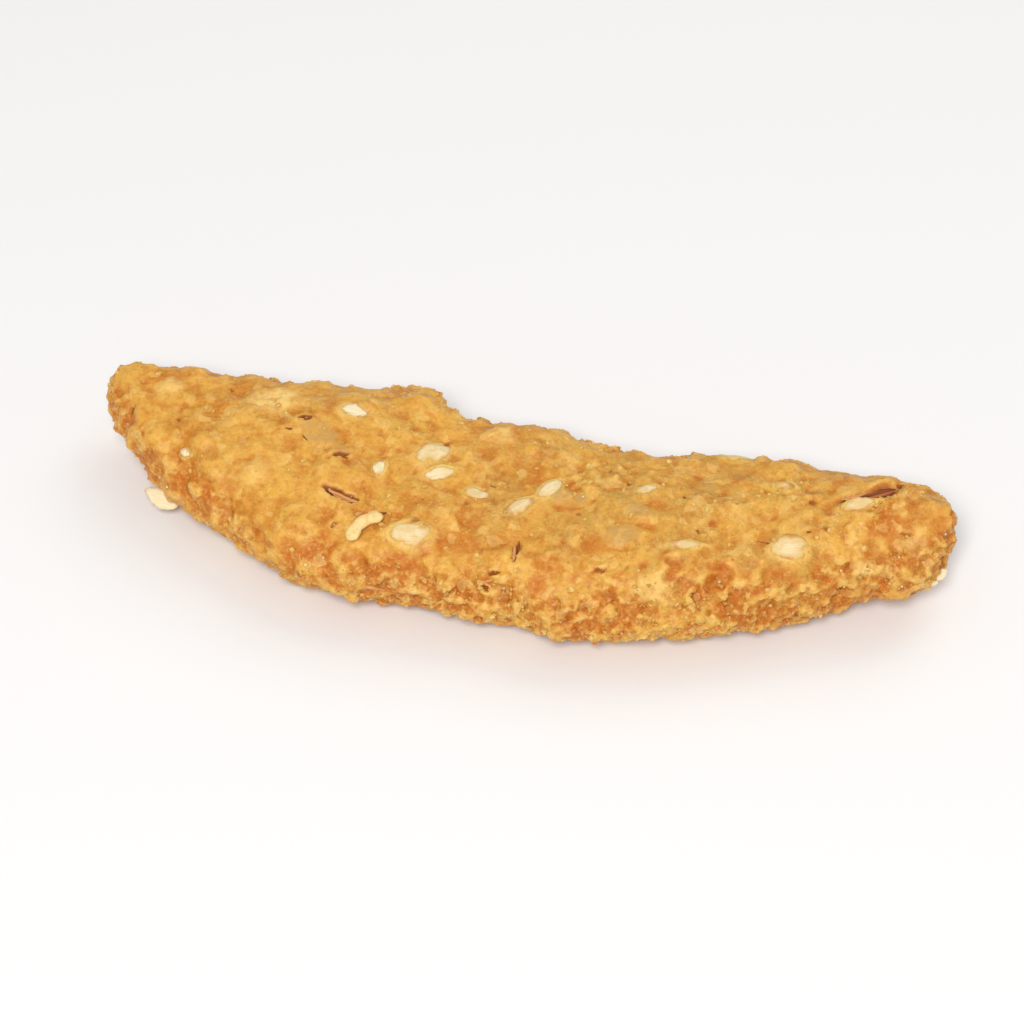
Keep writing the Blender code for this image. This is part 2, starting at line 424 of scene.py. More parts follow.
SHOULDER = 0.25                # how high the dough holds a seed, over its middle plane, in thicknesses
LIP = 0.03                     # how thick the dough is where it laps the seed
BED_EDGE = 0.90                # how far out the bare part of a seed reaches, 1 being its outline
BED_DEPTH = 0.28               # how far below the seed's top the dough under it stays
COLLAR_EDGE = 1.12             # how far out the dough holds tight to the seed
COLLAR_WIDTH = 0.18
COLLAR_REACH = 1.36            # how far out the collar ends
COLLAR_FADE = 0.40
SEED_PALLOR = 0.30             # how pale the dough is round a seed
free = [placing for seed, placing in zip(BARE_SEEDS, bare_placings) if "facing" in seed]
for placing in bare_placings:
    if placing in free:
        continue
    back = placing.inverted()
    up = (placing.to_3x3() @ Vector((0.0, 0.0, 1.0))).normalized()
    thickness = (placing.to_3x3() @ Vector((0.0, 0.0, 1.0))).length
    for point, index, distance in near.find_range(placing.translation, 2.4):
        own = back @ places[index]
        if abs(own.z) * thickness > 1.1 or normals[index].dot(up) < 0.2:
            continue
        narrowed = 1.0 - 0.42 * ease((own.x - 0.05) / 0.42)      # towards the seed's pointed end
        out = (own.x ** 2 + (own.y / narrowed) ** 2) ** 0.5 * 2.0
        edge = BED_EDGE - 0.36 * max(noise.noise(places[index] * 1.9) + 0.05, 0.0)
        roof = max(0.25 - (out / 2.0) ** 2, 0.0) ** 0.5
        if out < edge:
            proud = (min(own.z, 0.6) - roof) * thickness
            depth = -LIP + BED_DEPTH * ease((edge - out) / 0.30)
            places[index] -= up * (proud + depth)
        else:
            level = max(SHOULDER * thickness - 0.02 + 0.08 * noise.noise(places[index] * 1.6),
                        roof * thickness + LIP)
            hold = max(0.45 + 0.60 * noise.noise(places[index] * 1.1), 0.10)
            lift = level - own.z * thickness
            slope = max(lift, 0.0)
            hold += (1.0 - hold) * ease((COLLAR_EDGE + 0.5 * slope - out) / (COLLAR_WIDTH + 0.5 * slope))
            hold *= ease((COLLAR_REACH + 0.8 * slope - out) / (COLLAR_FADE + 0.8 * slope))
            places[index] += up * lift * hold
        pale[index] = max(pale[index], SEED_PALLOR * ease((1.35 - out) / 0.50))

TOAST_RISE = 0.07              # a toasted seed lifts the skin over it, and a groove runs round it
GROOVE_DEPTH = 0.08
# The groove round a toasted seed is painted darker: painted shade in the groove.
GROOVE_SHADE = 0.12
husk = [0.0] * len(points)
for placing in toasted_placings:
    back = placing.inverted()
    up = (placing.to_3x3() @ Vector((0.0, 0.0, 1.0))).normalized()
    for point, index, distance in near.find_range(placing.translation, 2.0):
        own = back @ places[index]
        ragged = 0.22 * noise.noise(places[index] * 1.8)
        out = (own.x ** 2 + own.y ** 2) ** 0.5 * 2.0 + ragged
        if normals[index].dot(up) > 0.2:
            groove = ease(0.3 - ragged * 4.0) * ease(1.0 - abs(out - 1.12) / 0.14)
            places[index] += up * (TOAST_RISE * ease((1.20 - out) / 0.5) - GROOVE_DEPTH * groove)
            husk[index] = max(husk[index], ease((1.10 - out) / 0.50))
            scorch_and_shade[index] = max(scorch_and_shade[index], GROOVE_SHADE * groove)

BULGE_RISE = 0.16              # over a seed that is sunk right in
for placing, show in zip(buried_placings, shows):
    back = placing.inverted()
    up = (placing.to_3x3() @ Vector((0.0, 0.0, 1.0))).normalized()
    for point, index, distance in near.find_range(placing.translation, 2.2):
        own = back @ places[index]
        out = (own.x ** 2 + own.y ** 2) ** 0.5 * 2.0 + 0.25 * noise.noise(places[index] * 1.5)
        if normals[index].dot(up) > 0.2:
            places[index] += up * BULGE_RISE * ease(1.25 - out)
            pale[index] = max(pale[index], show * ease((1.25 - out) / 0.8))


def open_split(place, normal, along, length, width, depth, burn):
    """Press a narrow hollow into the crust and note how dark to paint it: partly fried darker, partly
    painted shade in the hollow.
    """
    across = normal.cross(along).normalized()
    ahead = across.cross(normal).normalized()
    for point, index, distance in near.find_range(place, length * 0.5 + width + 0.4):
        offset = places[index] - place
        wave = 0.45 * width * noise.noise(places[index] * 1.1) + 0.12 * noise.noise(places[index] * 3.0)
        reach = offset.dot(ahead) / (length * 0.5)
        side = (offset.dot(across) + wave) / (width * 0.5)
        out = (abs(reach) ** 3.0 + abs(side) ** 2.0) ** 0.5
        inward = ease(1.35 - out)
        if normals[index].dot(normal) > 0.1:
            places[index] -= normal * depth * inward
            # The hollow is painted darker: partly frying, partly painted shade.
            scorch_and_shade[index] = max(scorch_and_shade[index], burn * ease((1.30 - out) / 0.8))


for split in SPLITS:
    place, normal = on_top(split["x"], split["y"])
    open_split(place, normal, level_way(split["turn"]),
               split["length"], split["width"], split["depth"], split["burn"])

pores = Random(14)
for place, normal in spots_on(crust.data, PORE_COUNT, seed=31):
    size = pores.uniform(*PORE_SIZES)
    open_split(place, normal, random_way(pores), size * pores.uniform(1.0, 2.6), size,
               pores.uniform(*PORE_DEPTHS), PORE_BURN_AND_SHADE * pores.random() ** 2.2)

low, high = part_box("stick")
for point, place in zip(points, places):
    place.z = max(place.z, low[2] / MILLIMETRE)
    point.co = place

# How far each point's grain stands out, how far its blister does, and how brown that part fried. The first
# two also place painted shade in hollows and painted light on raised parts, and the last holds painted
# shade in two dimples.
worn = crust.copy()
worn.data = crust.data.copy()
bpy.context.collection.objects.link(worn)
standing = [point.co.copy() for point in points]
outward = [normal.vector.copy() for normal in crust.data.vertex_normals]
heights = []
for steps in (GRAIN_STEPS, BLISTER_STEPS):
    shape_with(worn, "SMOOTH", factor=SMOOTHING, iterations=steps)
    smooth = [point.co.copy() for point in worn.data.vertices]
    heights.append([(place - lower).dot(way) for place, lower, way in zip(standing, smooth, outward)])
    standing = smooth
bpy.data.objects.remove(worn)
relief, swell = heights
TOP_BROWNING = 0.06
SIDE_BROWNING = 0.56
END_BROWNING = 0.20
BROWNING_AND_SHADE_LIMITS = (-0.8, 1.3)
browning_and_shade = []
for point in points:
    place, normal, face, distance = skin.find_nearest(point.co)
    steep = steepness(normal.z)
    zone = 0.40 * noise.noise(point.co * 0.17) + (0.25 + 0.20 * steep) * noise.noise(point.co * 0.55)
    end = ease((abs(point.co.x - 1.0) - 16.0) / 5.0)
    browning_and_shade.append(TOP_BROWNING + SIDE_BROWNING * steep + END_BROWNING * end + zone)
for spot in BROWNED_AND_SHADED:
    middle = Vector((spot["x"], spot["y"], spot["z"]))
    for place, index, distance in near.find_range(middle, spot["reach"] * 1.3):
        ragged = distance * (1.0 + 0.8 * noise.noise(place * 0.9) + 0.6 * noise.noise(place * 2.6))
        browning_and_shade[index] += spot["more"] * ease(1.25 - ragged / spot["reach"])
least, most = BROWNING_AND_SHADE_LIMITS
browning_and_shade = [min(max(value, least), most) for value in browning_and_shade]
for name, values in (("relief", relief), ("swell", swell), ("browning_and_shade", browning_and_shade),
                     ("scorch_and_shade", scorch_and_shade), ("pale", pale), ("husk", husk), ("crumbly", crumbly)):
    crust.data.attributes.new(name, "FLOAT", "POINT").data.foreach_set("value", values)


def shrink_to_size(piece, smooth=True):
    """Bring a piece from millimetres to metres, with its place kept in its mesh, and shade it."""
    piece.scale = (MILLIMETRE, MILLIMETRE, MILLIMETRE)
    settle(piece)
    if smooth:
        bpy.ops.object.shade_smooth()


def new_material(name, **constants):
    """A material with a Principled shader, and these constant values on the shader's own sockets."""
    material = bpy.data.materials.new(name)
    material.use_nodes = True
    shader = material.node_tree.nodes["Principled BSDF"]
    for socket, value in constants.items():
        shader.inputs[socket.replace("_", " ").title().replace("Ior", "IOR")].default_value = value
    return material, material.node_tree, shader


def node(tree, kind, **values):
    """Add a node; a value named after a socket goes on that socket, and any other is a setting."""
    added = tree.nodes.new(kind)
    for name, value in values.items():
        socket = added.inputs.get(name.replace("_", " ").title())
        if socket is None:
            setattr(added, name, value)
        else:
            socket.default_value = value
    return added


def feed(tree, socket, value):
    """Link a socket to another one, or set it to a plain value."""
    if isinstance(value, bpy.types.NodeSocket):
        tree.links.new(value, socket)
    else:
        socket.default_value = value


def mixed(tree, factor, first, second):
    """A colour mix. Each of the three is a socket or a plain value."""
    mix = node(tree, "ShaderNodeMix", data_type="RGBA")
    feed(tree, mix.inputs[0], factor)
    feed(tree, mix.inputs[6], first)
    feed(tree, mix.inputs[7], second)
    return mix.outputs[2]


def spread(tree, value, low, high, start=0.0, end=1.0):
    """Map a range of values onto another, softly and without passing its ends."""
    ranged = node(tree, "ShaderNodeMapRange", interpolation_type="SMOOTHSTEP",
                  from_min=low, from_max=high, to_min=start, to_max=end)
    tree.links.new(value, ranged.inputs["Value"])
    return ranged.outputs["Result"]


def math(tree, operation, *values):
    """One sum on two or three values, each a socket or a number."""
    sum_node = node(tree, "ShaderNodeMath", operation=operation)
    for socket, value in zip(sum_node.inputs, values):
        feed(tree, socket, value)
    return sum_node.outputs[0]


def patchy(tree, size, detail=3.0, roughness=0.55, where=None):
    """Soft patches of this size in metres."""
    pattern = node(tree, "ShaderNodeTexNoise", scale=1.0 / size, detail=detail, roughness=roughness)
    if where is None:
        where = node(tree, "ShaderNodeTexCoord").outputs["Object"]
    tree.links.new(where, pattern.inputs["Vector"])
    return pattern.outputs["Fac"]


def value_from(tree, name, output="Fac"):
    """Read an attribute of the piece."""
    return node(tree, "ShaderNodeAttribute", attribute_name=name).outputs[output]


def cells(tree, size, where):
    """Round grains of this size: how far a point is from its grain's middle, and a chance for the grain."""
    pattern = node(tree, "ShaderNodeTexVoronoi", scale=1.0 / size)
    tree.links.new(where, pattern.inputs["Vector"])
    parts = node(tree, "ShaderNodeSeparateColor")
    tree.links.new(pattern.outputs["Color"], parts.inputs["Color"])
    return pattern.outputs["Distance"], parts.outputs["Red"]


# The look of fried dough, which the crust and its loose crumbs share. Its patterns are in metres.
BROAD_SIZE = 0.0042
MOTTLE_SIZE = 0.0013
COARSE_SIZE = 0.00055
SPECKLE_SIZE = 0.00048
FINE_SIZE = 0.00022
WOBBLE_SIZE = 0.0006           # the grains are bent out of their places, so that none is regular
WOBBLE = 0.00030
DOUGH_MARKS = ("Browning_and_shade", "Crumbly", "Relief", "Swell", "Pale", "Husk", "Scorch_and_shade")
dough_look = bpy.data.node_groups.new("fried_dough", "ShaderNodeTree")
for name in DOUGH_MARKS + ("Lightness",):
    dough_look.interface.new_socket(name=name, in_out="INPUT", socket_type="NodeSocketFloat")
for name, kind in (("Colour", "Color"), ("Gloss", "Float"), ("Oil", "Float"), ("Height", "Float")):
    dough_look.interface.new_socket(name=name, in_out="OUTPUT", socket_type="NodeSocket" + kind)
tree = dough_look
given = node(tree, "NodeGroupInput").outputs
result = node(tree, "NodeGroupOutput").inputs
here = node(tree, "ShaderNodeTexCoord").outputs["Object"]
wobble = node(tree, "ShaderNodeTexNoise", scale=1.0 / WOBBLE_SIZE, detail=2.0)
tree.links.new(here, wobble.inputs["Vector"])
bent = node(tree, "ShaderNodeVectorMath", operation="MULTIPLY_ADD")
tree.links.new(wobble.outputs["Color"], bent.inputs[0])
bent.inputs[1].default_value = (WOBBLE, WOBBLE, WOBBLE)
tree.links.new(here, bent.inputs[2])
bent = bent.outputs["Vector"]
broad = patchy(tree, BROAD_SIZE)
mottle = patchy(tree, MOTTLE_SIZE, detail=4.0, roughness=0.6)
speckle = patchy(tree, SPECKLE_SIZE, detail=4.0, roughness=0.65)
fine = patchy(tree, FINE_SIZE, detail=3.0, roughness=0.65, where=bent)
coarse_out, coarse_chance = cells(tree, COARSE_SIZE, bent)

grain = spread(tree, given["Crumbly"], 0.25, 0.85, 0.75, 1.0)


def tinted(colour, *tints):
    """Mix other colours in, each up to its most as a value goes from start to full, some by a share."""
    for other, value, start, full, most, *shares in tints:
        amount = spread(tree, value, start, full, 0.0, most)
        for share in shares:
            amount = math(tree, "MULTIPLY", amount, share)
        colour = mixed(tree, amount, colour, other)
    return colour


along = node(tree, "ShaderNodeSeparateXYZ")
tree.links.new(here, along.inputs["Vector"])
thin = math(tree, "MULTIPLY_ADD", along.outputs["X"], -5.0, broad)      # thinner towards the right
# The browning mark holds real browning and, in two dimples on the front, painted shade.
contrast = spread(tree, given["Crumbly"], 0.25, 0.85, -2.0, -3.4)
amber = math(tree, "SUBTRACT", mottle, 0.5)
amber = math(tree, "MULTIPLY_ADD", amber, contrast, given["Browning_and_shade"])
pale = math(tree, "MULTIPLY", given["Pale"], spread(tree, speckle, 0.30, 0.58, 0.50, 1.0))
husk = math(tree, "MULTIPLY", given["Husk"], spread(tree, speckle, 0.36, 0.56, 0.15, 0.75))
colour = tinted(
    CRUST_GOLD,
    (CRUST_YELLOW, broad, 0.40, 0.58, 0.90),
    (CRUST_YELLOW, mottle, 0.50, 0.60, 0.60),
    (CRUST_YELLOW, given["Browning_and_shade"], 0.05, -0.50, 0.75),
    (CRUST_TAN, thin, 0.48, 0.32, 0.42),
    (CRUST_AMBER, amber, 0.05, 1.0, 1.0),
    # Painted shade: amber in the broad dents. Painted light: yellow on the swells.
    (CRUST_AMBER, given["Swell"], -0.01, -0.07, 1.00, grain),
    (CRUST_YELLOW, given["Swell"], 0.01, 0.08, 0.75),
    (CRUST_YELLOW, speckle, 0.50, 0.63, 0.45, grain),
    (CRUST_AMBER, speckle, 0.49, 0.36, 0.50, grain),
    (CRUST_PALE, coarse_chance, 0.75, 1.00, 0.42, grain),
    (CRUST_AMBER, coarse_chance, 0.22, 0.00, 0.30, grain),
    (CRUST_PALE, fine, 0.53, 0.68, 0.32, grain),
    (CRUST_BROWN, fine, 0.47, 0.33, 0.28, grain),
    # Painted shade: brown in the creases between grains. Painted highlight: pale on the raised grain.
    (CRUST_BROWN, given["Relief"], -0.01, -0.08, 0.30, grain),
    (CRUST_PALE, given["Relief"], 0.01, 0.08, 0.31, grain))
colour = mixed(tree, pale, colour, CRUST_PALE)
colour = mixed(tree, husk, colour, HUSK_GREY)
colour = tinted(
    colour,
    (CRUST_PALE, given["Lightness"], 0.40, 1.0, 0.55),
    # Splits, pores and the grooves round toasted seeds are painted darker: partly frying, partly painted
    # shade in those hollows.
    (CRUST_BROWN, given["Scorch_and_shade"], 0.00, 0.40, 0.90),
    (CRUST_SCORCH_AND_SHADE, given["Scorch_and_shade"], 0.25, 0.90, 1.00))
tree.links.new(colour, result["Colour"])
tree.links.new(spread(tree, speckle, 0.3, 0.7, 0.40, 0.66), result["Gloss"])
oil = spread(tree, mottle, 0.35, 0.65, 0.08, 0.32)
raised = spread(tree, given["Relief"], -0.04, 0.03, 0.10, 1.00)
tree.links.new(math(tree, "MULTIPLY", oil, raised), result["Oil"])
coarse_rise = math(tree, "MULTIPLY", coarse_out, -0.15)
fine_rise = math(tree, "MULTIPLY_ADD", fine, 0.45, coarse_rise)
rise = math(tree, "MULTIPLY_ADD", speckle, 0.70, fine_rise)
tree.links.new(math(tree, "MULTIPLY", rise, grain), result["Height"])


DOUGH_GLOW = (1.0, 0.36, 0.08)      # how far red, green and blue light spread inside


def dough_material(name, bump_strength, lightness=None, **constants):
    """A material of fried dough, whose patterns come from the group and the piece's attributes."""
    material, tree, shader = new_material(name, subsurface_radius=DOUGH_GLOW, **constants)
    look = node(tree, "ShaderNodeGroup")
    look.node_tree = dough_look
    for mark in DOUGH_MARKS:
        tree.links.new(value_from(tree, mark.lower()), look.inputs[mark])
    if lightness:
        tree.links.new(value_from(tree, lightness), look.inputs["Lightness"])
    tree.links.new(look.outputs["Colour"], shader.inputs["Base Color"])
    tree.links.new(look.outputs["Gloss"], shader.inputs["Roughness"])
    tree.links.new(look.outputs["Oil"], shader.inputs["Coat Weight"])
    bump = node(tree, "ShaderNodeBump", strength=bump_strength, distance=0.00026)
    tree.links.new(look.outputs["Height"], bump.inputs["Height"])
    tree.links.new(bump.outputs["Normal"], shader.inputs["Normal"])
    tree.links.new(bump.outputs["Normal"], shader.inputs["Coat Normal"])
    return material


crust.data.materials.append(dough_material(
    "crust", bump_strength=0.72, subsurface_weight=0.40, subsurface_scale=0.0008,
    specular_ior_level=0.24, coat_roughness=0.22))
dough = crust.data.copy()      # the finished surface in millimetres, for what lies on it
dough_skin = BVHTree.FromPolygons([point.co for point in dough.vertices],
                                  [face.vertices for face in dough.polygons])
shrink_to_size(crust)
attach(crust, "root")
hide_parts("stick")

# ------------------------------------------------------------------ sesame seeds
# Hulled white sesame, kneaded into the dough. Each is a flat drop with one pointed end, cream
# coloured and faintly ribbed along its length. The dough holds it by its edge.

SEED_STEPS = (0.08, 0.20, 0.32, 0.41)    # where the pointed end narrows, from the middle
SEED_NARROWING = (1.0, 0.86, 0.90)
SEED_FACES = (0.30, 0.38)                # where its two faces are flattened
SEED_FLATTENING = (1.0, 1.0, 0.45)
SEED_WARP = 0.22
SEED_WRINKLE = 0.09
FILM_EDGE = 0.08                         # how high over the dough its film ends
SEED_CREAM = (0.725, 0.530, 0.250, 1.0)
SEED_LIGHT = (0.800, 0.650, 0.375, 1.0)
SEED_EDGE = (0.700, 0.420, 0.110, 1.0)
SEED_WHITE = (0.860, 0.740, 0.500, 1.0)


def choose_points(piece, wanted):
    """Select, in edit mode, the points whose place passes the test."""
    bpy.ops.object.mode_set(mode="OBJECT")
    take_hold(piece)
    bpy.ops.object.mode_set(mode="EDIT")
    bpy.ops.mesh.select_mode(type="VERT")
    bpy.ops.mesh.select_all(action="DESELECT")
    bpy.ops.object.mode_set(mode="OBJECT")
    for point in piece.data.vertices:
        point.select = wanted(point.co)
    bpy.ops.object.mode_set(mode="EDIT")


bpy.ops.object.select_all(action="DESELECT")
bpy.ops.mesh.primitive_uv_sphere_add(segments=24, ring_count=18, radius=0.5,
                                     rotation=(0.0, radians(90.0), 0.0))
seed_model = bpy.context.object
seed_model.name = "seed_model"
settle(seed_model)
for step in SEED_STEPS:
    choose_points(seed_model, lambda place: place.x > step)
    bpy.ops.transform.resize(value=SEED_NARROWING, center_override=(step, 0.0, 0.0))
for side in (1.0, -1.0):
    for step in SEED_FACES:
        choose_points(seed_model, lambda place: place.z * side > step)
        bpy.ops.transform.resize(value=SEED_FLATTENING, center_override=(0.0, 0.0, step * side))
bpy.ops.object.mode_set(mode="OBJECT")
seeds = strewn("sesame_seeds", [seed_model], bare_placings, tones_given=veils)
seed_warp = relief_pattern("seed_warp", "CLOUDS", noise_scale=1.1, noise_depth=1)
shape_with(seeds, "DISPLACE", texture=seed_warp, strength=SEED_WARP, mid_level=0.5)
seed_wrinkle = relief_pattern("seed_wrinkle", "CLOUDS", noise_scale=0.40, noise_depth=1)
shape_with(seeds, "DISPLACE", texture=seed_wrinkle, strength=SEED_WRINKLE, mid_level=0.5)


def note_cover(piece, reach):
    """Keep how near each point of a piece is to the dough's surface: 1 at the surface, 0 past reach."""
    cover = []
    for point in piece.data.vertices:
        place, normal, face, distance = dough_skin.find_nearest(point.co)
        height = (point.co - place).dot(normal)
        cover.append(ease(1.0 - height / reach))
    piece.data.attributes.new("cover", "FLOAT", "POINT").data.foreach_set("value", cover)


note_cover(seeds, FILM_EDGE)


def streaked(tree, scale):
    """Streaks along a small model, the same way in every copy of it."""
    stretched = node(tree, "ShaderNodeMapping", scale=scale)
    tree.links.new(value_from(tree, "own_place", "Vector"), stretched.inputs["Vector"])
    return patchy(tree, 1.0, detail=2.0, where=stretched.outputs["Vector"])


material, tree, shader = new_material(
    "sesame", subsurface_weight=0.30, subsurface_scale=0.0008, subsurface_radius=(1.0, 0.60, 0.25),
    specular_ior_level=0.40, roughness=0.55)
rib_pattern = streaked(tree, (1.6, 13.0, 6.0))
stains = patchy(tree, 0.0007, detail=4.0, roughness=0.6)
colour = mixed(tree, spread(tree, stains, 0.40, 0.60), SEED_CREAM, SEED_LIGHT)
bareness = spread(tree, value_from(tree, "tone"), 0.05, -0.40)
colour = mixed(tree, bareness, colour, SEED_WHITE)
colour = mixed(tree, spread(tree, rib_pattern, 0.54, 0.34, 0.0, 0.35),
               colour, SEED_EDGE)
flat_place = node(tree, "ShaderNodeVectorMath", operation="MULTIPLY")
tree.links.new(value_from(tree, "own_place", "Vector"), flat_place.inputs[0])
flat_place.inputs[1].default_value = (2.0, 2.0, 0.0)      # 1 at the seed's outline
reach = node(tree, "ShaderNodeVectorMath", operation="LENGTH")
tree.links.new(flat_place.outputs["Vector"], reach.inputs[0])
film = math(tree, "MULTIPLY_ADD", value_from(tree, "tone"), 0.75, reach.outputs["Value"])
film = math(tree, "MULTIPLY_ADD", stains, 1.1, film)
film = spread(tree, film, 1.08, 1.68, 0.0, 0.95)
film = math(tree, "MAXIMUM", film, value_from(tree, "cover"))
film_colour = mixed(tree, spread(tree, stains, 0.42, 0.60), CRUST_YELLOW, CRUST_GOLD)
tree.links.new(mixed(tree, film, colour, film_colour), shader.inputs["Base Color"])
bump = node(tree, "ShaderNodeBump", strength=0.6, distance=0.00006)
tree.links.new(rib_pattern, bump.inputs["Height"])
tree.links.new(bump.outputs["Normal"], shader.inputs["Normal"])
seeds.data.materials.append(material)
shrink_to_size(seeds)
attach(seeds, "root")

bpy.data.objects.remove(seed_model)

# ------------------------------------------------------------------ curled shaving
# One thin shaving of dough that curled up in the oil, beside the largest seed and just clear of the
# crust. It is paler than the crust, as thick as a grass blade, and notched across.

CURL_LENGTH = 2.60
CURL_WIDTH = 0.78
CURL_THICKNESS = 0.60
CURL_BEND = -110.0                   # degrees from end to end
CURL_STEPS = (0.20, 0.32, 0.42)      # where its ends swell, from the middle
CURL_SWELLING = (1.0, 1.18, 1.12)
CURL_WRINKLE = 0.14
CURL_PLACE = (-7.45, -5.15)
CURL_TURN = 52.0
CURL_RISE = 0.36                     # over the smooth strip, which leaves it 0.2 clear of the dough
CURL_CREAM = (0.790, 0.590, 0.260, 1.0)
CURL_TAN = (0.750, 0.480, 0.160, 1.0)

bpy.ops.object.select_all(action="DESELECT")
bpy.ops.mesh.primitive_uv_sphere_add(segments=20, ring_count=32, radius=0.5,
                                     rotation=(0.0, radians(90.0), 0.0))
curl = bpy.context.object
curl.name = "curl"
settle(curl)
for side in (1.0, -1.0):
    for step in CURL_STEPS:
        choose_points(curl, lambda place: place.x * side > step)
        bpy.ops.transform.resize(value=CURL_SWELLING, center_override=(step * side, 0.0, 0.0))
bpy.ops.object.mode_set(mode="OBJECT")
curl.scale = (CURL_LENGTH, CURL_WIDTH, CURL_THICKNESS)
settle(curl)
shape_with(curl, "DISPLACE", texture=seed_wrinkle, strength=CURL_WRINKLE, mid_level=0.5)
shape_with(curl, "SIMPLE_DEFORM", deform_method="BEND", deform_axis="Z", angle=radians(CURL_BEND))
curl_place, curl_normal = on_top(*CURL_PLACE)
curl.matrix_world = laid(curl_place + curl_normal * CURL_RISE, curl_normal, level_way(CURL_TURN),
                         (1.0, 1.0, 1.0))
settle(curl)
material, tree, shader = new_material(
    "curl", subsurface_weight=0.30, subsurface_scale=0.0006, specular_ior_level=0.35, roughness=0.6)
notches = patchy(tree, 0.00035, detail=3.0)
colour = mixed(tree, spread(tree, notches, 0.38, 0.54), CURL_TAN, CURL_CREAM)
tree.links.new(colour, shader.inputs["Base Color"])
curl.data.materials.append(material)
shrink_to_size(curl)
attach(curl, "root")

# ------------------------------------------------------------------ loose crumbs
# Crumbs of the same dough that broke off when the sticks were cut and fried fast to the skin.
# They lie thickest along the rims and sides, and the oil left the smallest of them pale.

COARSE_CRUMBS = 1100           # at most, as too few spots are rough
FINE_CRUMBS = 3200
COARSE_SIZES = (0.14, 0.30)    # across, least and most
FINE_SIZES = (0.09, 0.17)
COARSE_THINNING = 1.6          # the higher, the fewer of them lie where the dough is smooth
FINE_THINNING = 0.8
SIZE_RARITY = 1.6              # the higher, the fewer of them are large
BARE_SHARE = 0.42              # how far from a seed's middle no crumb lies, as a share of the seed
SEED_REACH = 1.8               # no seed reaches further than this from its middle


def crumb_model(name, shape, seed):
    """One rough little lump, 1 mm across, of a few dozen faces."""
    bpy.ops.object.select_all(action="DESELECT")
    if shape == "block":
        bpy.ops.mesh.primitive_cube_add(size=0.72)
        bpy.ops.object.mode_set(mode="EDIT")
        bpy.ops.mesh.subdivide(number_cuts=1, smoothness=1.0)
    else:
        bpy.ops.mesh.primitive_ico_sphere_add(subdivisions=1, radius=0.5)
        bpy.ops.object.mode_set(mode="EDIT")
    bpy.ops.mesh.select_all(action="SELECT")
    bpy.ops.transform.vertex_random(offset=0.16, uniform=0.6, normal=0.4, seed=seed)
    bpy.ops.object.mode_set(mode="OBJECT")
    model = bpy.context.object
    model.name = name
    return model


def lay_crumbs(name, models, count, sizes, spots_seed, seed, thinning):
    """Crumbs fast to the dough, where the dough is rough and no seed lies bare."""
    picker = Random(seed)
    bare = [placing.inverted() for placing in bare_placings]
    middles = KDTree(len(bare))
    for index, placing in enumerate(bare_placings):
        middles.insert(placing.translation, index)
    middles.balance()
    placings = []
    for place, normal in spots_on(dough, count * 3, seed=spots_seed):
        if len(placings) == count:
            break
        skin_place, skin_normal, face, distance = skin.find_nearest(place)
        if picker.random() > crumbliness(place, skin_normal) ** thinning or place.z < sizes[1]:
            continue
        middle, index, distance = middles.find(place)
        if distance < SEED_REACH:
            own = bare[index] @ place
            if (own.x ** 2 + own.y ** 2) ** 0.5 < BARE_SHARE:
                continue
        across = sizes[0] + (sizes[1] - sizes[0]) * picker.random() ** SIZE_RARITY
        shape = (across * picker.uniform(0.8, 1.4), across * picker.uniform(0.7, 1.1),
                 across * picker.uniform(0.6, 0.9))
        placings.append(laid(place + skin_normal * across * picker.uniform(-0.15, 0.12), skin_normal,
                             random_way(picker), shape, picker.uniform(-30, 30), picker.uniform(-30, 30)))
    crumbs = strewn(name, models, placings, seed=seed)
    for mark in DOUGH_MARKS:
        crumbs.data.attributes.new(mark.lower(), "FLOAT", "POINT")
    browned_and_shaded, roughened = [], []
    for point in crumbs.data.vertices:
        place, index, distance = near.find(point.co)
        browned_and_shaded.append(browning_and_shade[index])
        roughened.append(crumbly[index])
    crumbs.data.attributes["browning_and_shade"].data.foreach_set("value", browned_and_shaded)
    crumbs.data.attributes["crumbly"].data.foreach_set("value", roughened)
    crumbs.data.materials.append(crumb_look)
    return crumbs


crumb_look = dough_material(
    "crumb", bump_strength=0.3, lightness="tone", subsurface_weight=0.30, subsurface_scale=0.0006,
    specular_ior_level=0.50, coat_roughness=0.25)
blocks = [crumb_model("block", "block", seed) for seed in (1, 2, 3, 4)]
nubs = [crumb_model("nub", "nub", seed) for seed in (5, 6, 7)]
for name, models, count, sizes, spots_seed, thinning in (
        ("coarse_crumbs", blocks, COARSE_CRUMBS, COARSE_SIZES, 41, COARSE_THINNING),
        ("fine_crumbs", nubs, FINE_CRUMBS, FINE_SIZES, 43, FINE_THINNING)):
    crumbs = lay_crumbs(name, models, count, sizes, spots_seed, spots_seed + 1, thinning)
    shrink_to_size(crumbs, smooth=False)
    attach(crumbs, "root")
for model in blocks + nubs:
    bpy.data.objects.remove(model)

# ------------------------------------------------------------------ salt
# Fine table salt, thrown over the sticks while they were hot. The grains are small blunt cubes that
# the frying fat holds where the crust is rough.

SALT_COUNT = 45                # at most, as too few spots are rough
SALT_SIZES = (0.07, 0.14)
SALT_THINNING = 2.0
SALT_BEVEL = 0.14              # as a share of the grain
SALT_RISE = 0.3
SALT_WHITE = (0.780, 0.640, 0.420, 1.0)

